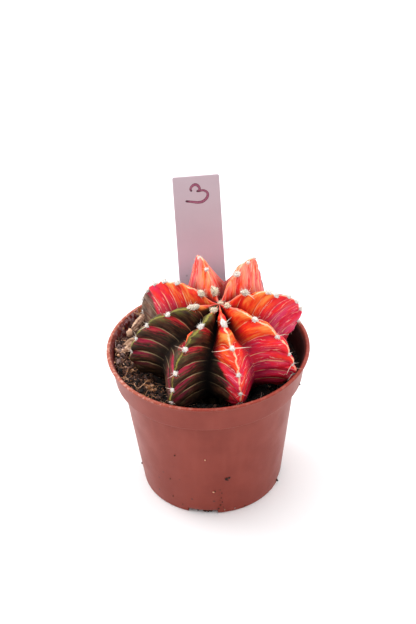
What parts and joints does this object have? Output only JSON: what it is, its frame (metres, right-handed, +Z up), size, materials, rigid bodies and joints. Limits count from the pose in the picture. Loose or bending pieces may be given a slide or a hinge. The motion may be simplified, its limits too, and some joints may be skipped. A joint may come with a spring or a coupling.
{
  "type": "potted moon cactus",
  "caption": "Variegated ribbed moon cactus in a thin tapered plastic nursery pot of peaty soil, with a leaning stake label behind it and a dried flower at the pot's wall.",
  "frame": {"origin": "middle of the flat pad under the pot, on the surface that the pot stands on", "axes": "+Z up along the pot's axis; the stake label stands at the back, towards +Y, and the front of the plant faces -Y; +X to the right seen from the front"},
  "size_m": [0.0558, 0.0619, 0.0768],
  "materials": {
    "pot_plastic": "thin satin terracotta-coloured plastic with specks of dirt",
    "potting_soil": "dark brown peat with fibres, grains and small stones",
    "cactus_skin": "waxy variegated skin, orange to crimson with dark olive ribs, pale stripes, white wool and straw spines",
    "label_plastic": "pale lilac translucent plastic with a hand-written numeral",
    "dried_petal": "papery tan, wrinkled"
  },
  "bodies": {
    "root": {"pot": "pot_plastic", "soil": "potting_soil", "cactus": "cactus_skin", "label": "label_plastic", "dried_flower": "dried_petal"}
  },
  "joints": []
}
